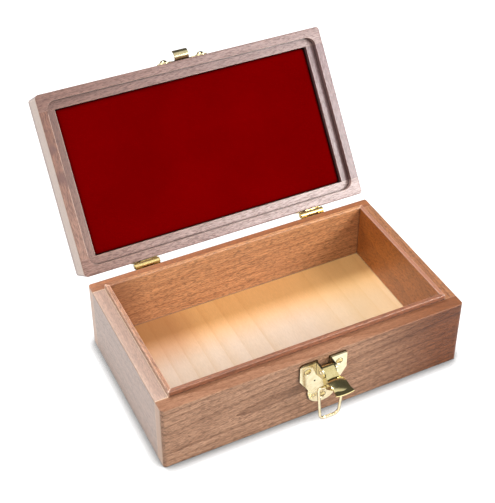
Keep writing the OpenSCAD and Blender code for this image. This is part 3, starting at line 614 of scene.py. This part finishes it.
# A pale painted sheen on the lid's left face
LID_LEFT_PAINTED_SHEEN = (LEFT_BAND, 0.5, tone(214, 186, 164))
LID_LEFT_BOARDS = ("lid_front_board", "lid_back_board", "lid_left_board")
LID_KNOTS = [
    ((-0.1115, 0.1151, 0.1149), 6 * MM),
    ((-0.1068, 0.1126, 0.1115), 5 * MM),
    ((-0.1123, 0.1274, 0.1316), 5 * MM),
]
side_ends = [end_of("lid_left_board", Y, pick, LAID_FLAT) for pick in (min, max)]
SIDE_MIDDLE = (side_ends[0] + side_ends[1]) / 2
SIDE_HALF = (side_ends[1] - side_ends[0]) / 2
SEAM_FADE = (SIDE_HALF - 3 * MM, SIDE_HALF - 1 * MM)
print("Boards in the lid:", len(LID_BOARDS), "with", len(LID_KNOTS), "soft dark spots on one")


# %% Dress the lid
def spare_seams(material):
    """Fades the painted edge highlight towards both ends of a side board, where another board
    meets it.
    """
    tree = material.node_tree
    shading = next(n for n in tree.nodes if n.type == "GROUP" and n.node_tree == painted_shading_group)
    down = place_along(tree, "Y", LID_TILT)
    away = math_node(tree, (-3, 5), "SUBTRACT", down, SIDE_MIDDLE)
    away = math_node(tree, (-2, 5), "ABSOLUTE", away, 0.0)
    share = shading.inputs["Edge share"].default_value
    link(tree, remap(tree, (-1, 5), away, *SEAM_FADE, share, 0.0), shading.inputs["Edge share"])


for name, (grain, pith, heart, early, late) in LID_BOARDS.items():
    values = dict(LID_WOOD, **{
        "Early wood": early, "Late wood": late, "Heart from": heart[0], "Heart to": heart[1]})
    shading_values = dict(LID_PAINTED_SHADING, **LIT_ARRIS) if name == "lid_left_board" else LID_PAINTED_SHADING
    walnut = wood_material("walnut_" + name, (grain, LID_TILT, pith, LID_LEAN), values, LID_RELIEF,
                           SATIN, shading_values)
    if name == "lid_left_board":
        tint_side(walnut, "Z", *LEDGE_PAINTED_SHADE, LID_TILT)
        spare_seams(walnut)
        add_knots_and_painted_shade(walnut, LID_KNOTS, 0.65, tone(84, 50, 46))
    if name in LID_LEFT_BOARDS:
        tint_side(walnut, "X", *LID_LEFT_PAINTED_SHEEN)
    dress(name, walnut)
print("Dressed:", ", ".join(LID_BOARDS))

# %% [markdown]
# ## The velvet panel
# A board wrapped in short-pile velvet over a thin sheet of foam. It is flat in the middle, falls
# off softly at its edges where the cloth is pulled round, and swells by less than a millimetre.
# It could be a cloth simulation, but foam this thin hardly moves, so a block is cut from
# operators instead: its edges are bevelled with many segments, its face is subdivided, and the
# middle is lifted a little. It is modelled closed and flat, then swung to the lid's place.

# %% Measure the pad's place
HINGE_PIN = Vector(lid_hinge["pos_m"])
opening = Matrix.Rotation(math.radians(-LID_TILT), 4, "X")
swing = Matrix.Translation(HINGE_PIN) @ opening @ Matrix.Translation(-HINGE_PIN)
pad_points = [swing.inverted() @ v.co for v in solids["velvet_pad"].data.vertices]
pad_low = Vector([min(p[i] for p in pad_points) for i in range(3)])
pad_high = Vector([max(p[i] for p in pad_points) for i in range(3)])
print("The closed pad's low corner, in mm:", [round(c * 1000, 2) for c in pad_low])
print("The closed pad's high corner, in mm:", [round(c * 1000, 2) for c in pad_high])

# %% Model the pad
PAD_EDGE = 2.4 * MM  # how far its edges are rolled
PAD_EDGE_STEPS = 6
PAD_CROWN = 0.5 * MM  # how far its face swells
PAD_CUTS = 40
LONG_EDGE = 20 * MM
# High powers keep the face even and let it fall off near its sides only
FLAT_ACROSS = 8
FLAT_DOWN = 6


def model_pad():
    """The padded panel, closed and flat: a bevelled block with a crowned face."""
    size = pad_high - pad_low
    size.z -= PAD_CROWN
    middle = (pad_low + pad_high) / 2
    middle.z += PAD_CROWN / 2
    mesh = bmesh.new()
    place = Matrix.Translation(middle) @ Matrix.Diagonal((*size, 1.0))
    bmesh.ops.create_cube(mesh, size=1.0, matrix=place)
    # The velvet's side is the low one while the lid is shut
    low = middle.z - size.z / 2
    rolled = [e for e in mesh.edges if min(v.co.z for v in e.verts) < low + PAD_EDGE]
    bmesh.ops.bevel(mesh, geom=rolled, offset=PAD_EDGE, affect="EDGES", segments=PAD_EDGE_STEPS,
                    profile=0.5, material=-1)
    long_edges = [e for e in mesh.edges if e.calc_length() > LONG_EDGE]
    bmesh.ops.subdivide_edges(mesh, edges=long_edges, cuts=PAD_CUTS, use_grid_fill=True)
    half = size / 2
    for v in mesh.verts:
        across = 1 - min(1.0, abs(v.co.x - middle.x) / half.x) ** FLAT_ACROSS
        down = 1 - min(1.0, abs(v.co.y - middle.y) / half.y) ** FLAT_DOWN
        front = max(0.0, min(1.0, (middle.z - v.co.z) / half.z))
        v.co.z -= PAD_CROWN * across * down * front
    bmesh.ops.recalc_face_normals(mesh, faces=mesh.faces)
    bmesh.ops.transform(mesh, matrix=swing, verts=mesh.verts)
    return mesh


def as_object(name, mesh, material, smooth=True):
    """Turns a bmesh into an object of that name, at the origin."""
    data = bpy.data.meshes.new(name)
    mesh.to_mesh(data)
    mesh.free()
    data.materials.append(material)
    data.polygons.foreach_set("use_smooth", [smooth] * len(data.polygons))
    made = bpy.data.objects.new(name, data)
    bpy.context.scene.collection.objects.link(made)
    return made


print("The pad's edges are rolled by", round(PAD_EDGE * 1000, 1), "mm")

# %% [markdown]
# ## Velvet
# Short fibres stand on the cloth. Looked at straight, velvet is dark, because light dives between
# the fibres, and at a glancing angle their sides glow. The Principled shader's sheen is made for
# this. The nap lies in patches that lean different ways, so a soft noise changes the red a
# little, and a fine noise breaks up the surface as the pile does.

# %% The velvet's material
NAP_PER_METRE = (16, 16, 16)
NAP_SPREAD = (0.3, 0.75)
PILE_PER_METRE = (2600, 2600, 2600)
PILE_SPREAD = (0.3, 0.7)
PILE_SHADES = (0.8, 1.15)  # what the darkest and the palest fibre multiply the red by
SHEEN = {"Sheen Weight": 0.3, "Sheen Roughness": 0.3, "Sheen Tint": tone(220, 20, 40)}


def make_velvet():
    material = bpy.data.materials.new("red_velvet")
    material.use_nodes = True
    tree = material.node_tree
    shader = tree.nodes["Principled BSDF"]
    place = node(tree, "TexCoord", (-7, 0)).outputs["Object"]
    nap = noise(tree, (-6, 1), place, NAP_PER_METRE, detail=3.0)
    nap = remap(tree, (-4, 1), nap, *NAP_SPREAD)
    pile = noise(tree, (-6, -1), place, PILE_PER_METRE, roughness=0.7)
    red = blend_colours(tree, (-3, 1), nap, tone(98, 0, 5), tone(106, 0, 6))
    grey = grey_colour(tree, (-3, -1), remap(tree, (-4, -1), pile, *PILE_SPREAD, *PILE_SHADES))
    red = blend_colours(tree, (-2, 1), 1.0, red, grey, "MULTIPLY")
    link(tree, red, shader.inputs["Base Color"])
    relief = node(tree, "Bump", (-1, -1), values={"Strength": 0.35, "Distance": 0.3 * MM})
    link(tree, pile, relief.inputs["Height"])
    link(tree, relief.outputs["Normal"], shader.inputs["Normal"])
    shader.inputs["Roughness"].default_value = 0.95
    shader.inputs["Specular IOR Level"].default_value = 0.0
    for socket, value in SHEEN.items():
        shader.inputs[socket].default_value = value
    return material


velvet = make_velvet()
panel = as_object("velvet_panel", model_pad(), velvet)
dress("velvet_pad", velvet)
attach(panel, "lid")
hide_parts("velvet_pad")
print("The velvet panel has", len(panel.data.polygons), "faces")

# %% [markdown]
# ## Brass
# The hinges and the catch are stamped from sheet, polished and lacquered. Polished brass is pale
# where it faces the light and deep gold where it sees the wood. A metal's colour is its
# reflection, so the detail lies in how sharp the reflection is: fine marks from rolling and
# handling spread it along one direction, and small clouds in the lacquer dull it here and there.
# The group puts out a colour, a roughness and a height for any brass piece.

# %% The brass group
CLOUDS_PER_METRE = (260, 260, 260)
LINES_PER_METRE = (350, 5200, 5200)
SPOTS_PER_METRE = (1500, 1500, 1500)
CLOUD_CUT = (0.35, 0.7)
SPOT_CUT = (0.62, 0.72)
DULL_ROUGHNESS = 0.16  # how much rougher the brass is where it is dull
SPOT_DEPTH = -0.6  # spots are pits, and the lines from rolling are 1 high


def make_brass_group():
    tree, given, result = new_group(
        "Handled brass",
        [("Vector", "Vector", None), ("Clean", "Color", tone(240, 214, 150)),
         ("Dull", "Color", tone(205, 165, 95)), ("Base roughness", "Float", 0.2),
         ("Marks", "Float", 0.5)],
        [("Color", "Color"), ("Roughness", "Float"), ("Height", "Float")])
    at = given["Vector"]
    clouds = noise(tree, (0, 1), at, CLOUDS_PER_METRE, detail=3.0, roughness=0.6)
    clouds = remap(tree, (2, 1), clouds, *CLOUD_CUT)
    lines = noise(tree, (0, 0), at, LINES_PER_METRE, roughness=0.6)
    spots = noise(tree, (0, -1), at, SPOTS_PER_METRE, roughness=0.6)
    spots = remap(tree, (2, -1), spots, *SPOT_CUT)
    dulled = math_node(tree, (4, 1), "MULTIPLY", clouds, given["Marks"])
    spotted = math_node(tree, (4, -1), "MULTIPLY", spots, given["Marks"])
    shade = math_node(tree, (5, 1), "MAXIMUM", dulled, spotted)
    link(tree, blend_colours(tree, (6, 1), shade, given["Clean"], given["Dull"]), result["Color"])
    rough = math_node(tree, (5, 0), "MULTIPLY", shade, DULL_ROUGHNESS)
    rough = math_node(tree, (6, 0), "ADD", given["Base roughness"], rough)
    link(tree, rough, result["Roughness"])
    pits = math_node(tree, (3, -2), "MULTIPLY", spots, SPOT_DEPTH)
    link(tree, math_node(tree, (4, -2), "ADD", lines, pits), result["Height"])
    return tree


brass_group = make_brass_group()
print("Group:", brass_group.name, "with", len(brass_group.nodes), "nodes")

# %% [markdown]
# ## Brass, piece by piece
# How brass looks depends on how the piece was made. The plate is bright sheet, the strike and the
# hinges are duller, wire is drawn, screws are turned, and the lever is polished by thumbs. Screw
# slots, the gaps round screw heads and the joins between metal and wood are darkened with painted
# shade. The studio draws the rest, and it is painted: metal that is seen along its face mirrors
# the dark flags beside the lamps, which gives each piece a dark outline, and the plate's upper
# edge gets a painted dark band, where a rolled-over edge would mirror the same dark. The flags are
# not
# modelled: a Layer Weight in the material paints this dark reflection for every piece at any
# angle.
# The pieces on the lid read a mapping turned with it.

# %% The material for a brass piece
# Between these two values of Facing, from 0 face on to 1 along the face, the outline darkens with
# a painted reflection of the studio's dark flags
THIN_OUTLINE = (0.5, 0.85)
BROAD_OUTLINE = (0.35, 0.75)
BROADEST_OUTLINE = (0.3, 0.65)
PAINTED_REFLECTION_TONE = tone(92, 76, 42)
# Painted shade in the corners: in screw slots, round screw heads and where metal meets wood
BRASS_PAINTED_SHADE = {"Corner tone": tone(70, 50, 26), "Corner reach": 0.9 * MM, "Edge share": 0.0}
BRASS_RELIEF = {"Strength": 0.08, "Distance": 0.05 * MM}


def brass_material(name, tilt, values, outline=THIN_OUTLINE):
    """A brass piece's material: the brass group, its painted shade in corners, its outline
    darkened with a painted reflection, and one shader.
    """
    material = bpy.data.materials.new(name)
    material.use_nodes = True
    tree = material.node_tree
    shader = tree.nodes["Principled BSDF"]
    metal = node(tree, "Group", (-2, 0), {"node_tree": brass_group}, values)
    link(tree, board_mapping(tree, ALONG_X, tilt, AT_ORIGIN, NO_LEAN), metal.inputs["Vector"])
    # Painted shade in corners, such as screw slots and round screw heads
    shading = node(tree, "Group", (-1, 1), {"node_tree": painted_shading_group}, BRASS_PAINTED_SHADE)
    link(tree, metal.outputs["Color"], shading.inputs["Color"])
    # A painted reflection: metal that is seen along its face mirrors the dark part of the studio,
    # so its outline is painted darker
    facing = node(tree, "LayerWeight", (-2, 2), values={"Blend": 0.5})
    rim = remap(tree, (-1, 2), facing.outputs["Facing"], *outline)
    outlined = blend_colours(tree, (0, 2), rim, shading.outputs["Color"], PAINTED_REFLECTION_TONE)
    link(tree, outlined, shader.inputs["Base Color"])
    link(tree, metal.outputs["Roughness"], shader.inputs["Roughness"])
    relief = node(tree, "Bump", (-1, -1), values=BRASS_RELIEF)
    link(tree, metal.outputs["Height"], relief.inputs["Height"])
    link(tree, relief.outputs["Normal"], shader.inputs["Normal"])
    shader.inputs["Metallic"].default_value = 1.0
    return material


print("Dark outlines between", THIN_OUTLINE, BROAD_OUTLINE, "and", BROADEST_OUTLINE)


# %% Brass finishes
def brass_values(clean, dull, roughness, marks):
    """The brass group's inputs for one finish."""
    return {"Clean": tone(*clean), "Dull": tone(*dull),
            "Base roughness": roughness, "Marks": marks}


PLATE = brass_values((238, 226, 190), (216, 194, 140), 0.16, 0.35)
STRIKE = brass_values((216, 202, 160), (172, 150, 98), 0.18, 0.4)
HINGE = brass_values((232, 208, 142), (190, 154, 88), 0.2, 0.5)
WIRE = brass_values((246, 232, 196), (206, 180, 124), 0.14, 0.4)
SCREW = brass_values((228, 208, 150), (160, 130, 74), 0.22, 0.5)
LEVER = brass_values((240, 224, 164), (202, 176, 112), 0.12, 0.4)
print("Roughness: lever", LEVER["Base roughness"], "and screws", SCREW["Base roughness"])

# %% Dress the metalwork
# For each material: the lid's tilt, the finish, the outline and the pieces that get it
METALWORK = {
    "brass_plate": (NO_TILT, PLATE, THIN_OUTLINE, ["catch_plate"]),
    "brass_hinge": (NO_TILT, HINGE, THIN_OUTLINE, [
        "left_hinge_base_leaf", "right_hinge_base_leaf", "left_hinge_pin", "right_hinge_pin"]),
    "brass_screw": (NO_TILT, SCREW, THIN_OUTLINE, ["catch_screws", "hinge_base_screws"]),
    "brass_strike": (LID_TILT, STRIKE, BROAD_OUTLINE, ["strike_plate"]),
    "brass_hinge_lid": (LID_TILT, HINGE, THIN_OUTLINE, [
        "left_hinge_lid_leaf", "right_hinge_lid_leaf"]),
    "brass_wire": (NO_TILT, WIRE, BROAD_OUTLINE, ["bail", "lever_pin"]),
    "brass_screw_lid": (LID_TILT, STRIKE, BROADEST_OUTLINE, ["strike_screws", "hinge_lid_screws"]),
    "brass_lever": (NO_TILT, LEVER, THIN_OUTLINE, ["catch_lever"]),
}
plate_top = end_of("catch_plate", Z, max)
# A painted reflection: a dark band along the plate's upper edge, where a rolled-over edge would
# mirror the dark part of the studio
PLATE_EDGE_PAINTED_REFLECTION = ((plate_top - 1.7 * MM, plate_top - 1.2 * MM), 0.85, tone(84, 74, 52))

for name, (tilt, values, outline, pieces) in METALWORK.items():
    brass = brass_material(name, tilt, values, outline)
    if name == "brass_plate":
        tint_side(brass, "Z", *PLATE_EDGE_PAINTED_REFLECTION)
    for piece in pieces:
        dress(piece, brass)
    print(brass.name, "on", ", ".join(pieces))

# %% [markdown]
# ## The table
# A wide white plane, which isn't part of the case. A white table in a photo is burnt out except
# where the case shades it. Lighting it that hard would burn the case too, so for rays that the
# camera or a shiny surface sends, the table adds some light of its own. The shadow stays, because
# the table still dims where less light falls on it, and the glow fades within a centimetre of the
# case, which leaves the thin contact shadow.

# %% The table
TABLE_SIZE = 8.0
BOUNCED_TONE = tone(200, 200, 200)  # what the case is lit by
SEEN_TONE = tone(150, 150, 150)
TABLE_GLOW = 0.9
MIRRORED_GLOW = 0.45
CONTACT_REACH = 11 * MM
CONTACT_RAYS = 8
CONTACT_FREE = (0.5, 0.97)  # the share of free rays at which the glow starts and is full


def make_table_white():
    material = bpy.data.materials.new("white_table")
    material.use_nodes = True
    tree = material.node_tree
    shader = tree.nodes["Principled BSDF"]
    shader.inputs["Roughness"].default_value = 0.9
    shader.inputs["Specular IOR Level"].default_value = 0.1
    shader.inputs["Emission Color"].default_value = (1, 1, 1, 1)
    seen = node(tree, "LightPath", (-3, 0))
    by_camera = seen.outputs["Is Camera Ray"]
    body = blend_colours(tree, (-1, 2), by_camera, BOUNCED_TONE, SEEN_TONE)
    link(tree, body, shader.inputs["Base Color"])
    straight = math_node(tree, (-2, 0), "MULTIPLY", by_camera, TABLE_GLOW)
    mirrored = math_node(tree, (-2, 1), "MAXIMUM", seen.outputs["Is Glossy Ray"],
                         seen.outputs["Is Transmission Ray"])
    mirrored = math_node(tree, (-1, 1), "MULTIPLY", mirrored, MIRRORED_GLOW)
    level = math_node(tree, (0, 1), "MAXIMUM", straight, mirrored)
    # Where the case stands close over the table, half of the light from all round is hidden
    around = node(tree, "AmbientOcclusion", (-3, -2), {"samples": CONTACT_RAYS}, {
        "Distance": CONTACT_REACH})
    free = remap(tree, (-1, -2), around.outputs["AO"], *CONTACT_FREE)
    glow = math_node(tree, (1, 0), "MULTIPLY", level, free)
    link(tree, glow, shader.inputs["Emission Strength"])
    return material


table = bmesh.new()
bmesh.ops.create_grid(table, x_segments=1, y_segments=1, size=TABLE_SIZE / 2)
as_object("table", table, make_table_white(), smooth=False)
print("The table is", TABLE_SIZE, "m wide")

# %% [markdown]
# ## Light
# Soft studio light from four square lamps. The strongest stands high behind the case and lights
# the front half of its floor past the back wall. One low on the right lights the front board, and
# two weak ones, on the left and above, open the shadows. An even white surround fills the rest,
# dim enough not to wash the colours out. The camera and shiny surfaces see a studio in it,
# because brass is made of what it mirrors: a bright wall low down, which is all of it that a
# camera above the table sees, dark above, and a bright ceiling towards the viewer.

# %% Lamps
# For each lamp: where it stands, what it faces, its width in metres and its power in watts
LAMPS = {
    "back_softbox": ((-0.35, 0.95, 1.65), (0, 0, 0.05), 0.45, 26.0),
    "front_softbox": ((0.75, -0.80, 0.60), (0, 0.05, 0.08), 0.5, 16.0),
    "left_softbox": ((-1.2, -0.5, 1.1), (0, 0, 0.05), 1.0, 8.0),
    "top_softbox": ((-0.2, -0.7, 1.5), (0, 0, 0.05), 0.8, 4.0),
}


def lamp(name, at, target, size, watts):
    """A square area lamp that faces a target."""
    data = bpy.data.lights.new(name, "AREA")
    data.size = size
    data.energy = watts
    made = bpy.data.objects.new(name, data)
    made.location = at
    made.rotation_euler = (Vector(target) - Vector(at)).to_track_quat("-Z", "Y").to_euler()
    bpy.context.scene.collection.objects.link(made)
    return made


for name, settings in LAMPS.items():
    lamp(name, *settings)
print("Lamps:", ", ".join(LAMPS))

# %% The surround
SURROUND_LEVEL = 0.46
DARK_LEVEL = 0.08
CEILING_LEVEL = 0.9
WALL_BAND = (0.2, 0.4)  # how steeply a ray rises where the bright wall ends
CEILING_WAY = (-0.5, -0.8, 0.0)  # roughly from the case to the viewer
CEILING_BAND = (-0.42, -0.18)  # how far a ray leans that way where the bright ceiling starts
MIX_FLOAT_FIRST, MIX_FLOAT_SECOND, MIX_FLOAT_RESULT = 2, 3, 0  # sockets for plain values

world = bpy.data.worlds.new("white_surround")
bpy.context.scene.world = world
world.use_nodes = True
sky = world.node_tree
background = sky.nodes["Background"]
background.inputs["Color"].default_value = (1, 1, 1, 1)
ray = node(sky, "LightPath", (-4, 0))
shown = ray.outputs["Is Camera Ray"]
for column, kind in ((-3, "Is Glossy Ray"), (-2, "Is Transmission Ray")):
    shown = math_node(sky, (column, 0), "MAXIMUM", shown, ray.outputs[kind])
# What they see: a bright wall low down, a dark ceiling, and its bright part near the viewer
direction = node(sky, "TexCoord", (-5, -2)).outputs["Generated"]
way = node(sky, "SeparateXYZ", (-4, -2))
link(sky, direction, way.inputs["Vector"])
wall = remap(sky, (-3, -2), way.outputs["Z"], *WALL_BAND, 1.0, 0.0)
toward = node(sky, "VectorMath", (-4, -3), {"operation": "DOT_PRODUCT"})
toward.inputs[1].default_value = CEILING_WAY
link(sky, direction, toward.inputs[0])
ceiling = remap(sky, (-3, -3), toward.outputs["Value"], *CEILING_BAND, 0.0, CEILING_LEVEL)
studio = math_node(sky, (-2, -3), "MAXIMUM", wall, ceiling)
studio = math_node(sky, (-2, -2), "MAXIMUM", studio, DARK_LEVEL)
level = node(sky, "Mix", (-1, 0), {"data_type": "FLOAT"})
level.inputs[MIX_FLOAT_FIRST].default_value = SURROUND_LEVEL
link(sky, shown, level.inputs[MIX_SHARE])
link(sky, studio, level.inputs[MIX_FLOAT_SECOND])
link(sky, level.outputs[MIX_FLOAT_RESULT], background.inputs["Strength"])
print("The surround lights the case at", SURROUND_LEVEL, "of white")

# %% [markdown]
# ## Camera
# The view was solved from the corners of the case in the photograph: 26 degrees to the left of
# straight ahead and 37 degrees above the table, with a long lens. The picture is a crop of a
# larger one, so the lens is shifted a little instead of being tipped.

# %% Camera
CAMERA_TURN = -26.07
CAMERA_HEIGHT = 37.06
CAMERA_DISTANCE = 0.748
CAMERA_TARGET = Vector((-0.02073, 0.0, 0.15088))
FOCAL_PIXELS = 1158
PICTURE_LONG_SIDE = 503
SHIFT_PIXELS = -60
SENSOR_WIDTH = 36.0  # mm
NEAREST = 0.01

turn, height = math.radians(CAMERA_TURN), math.radians(CAMERA_HEIGHT)
level_part = math.cos(height)
back_way = Vector((math.sin(turn) * level_part, -math.cos(turn) * level_part, math.sin(height)))
camera_data = bpy.data.cameras.new("camera")
camera_data.sensor_width = SENSOR_WIDTH
camera_data.lens = FOCAL_PIXELS / PICTURE_LONG_SIDE * SENSOR_WIDTH
camera_data.shift_y = SHIFT_PIXELS / PICTURE_LONG_SIDE
camera_data.clip_start = NEAREST
camera = bpy.data.objects.new("camera", camera_data)
camera.location = CAMERA_TARGET + back_way * CAMERA_DISTANCE
camera.rotation_euler = (-back_way).to_track_quat("-Z", "Y").to_euler()
bpy.context.scene.collection.objects.link(camera)
bpy.context.scene.camera = camera
bpy.context.scene.view_settings.view_transform = "Standard"
print("Lens:", round(camera_data.lens, 1), "mm, camera at", [round(c, 3) for c in camera.location])
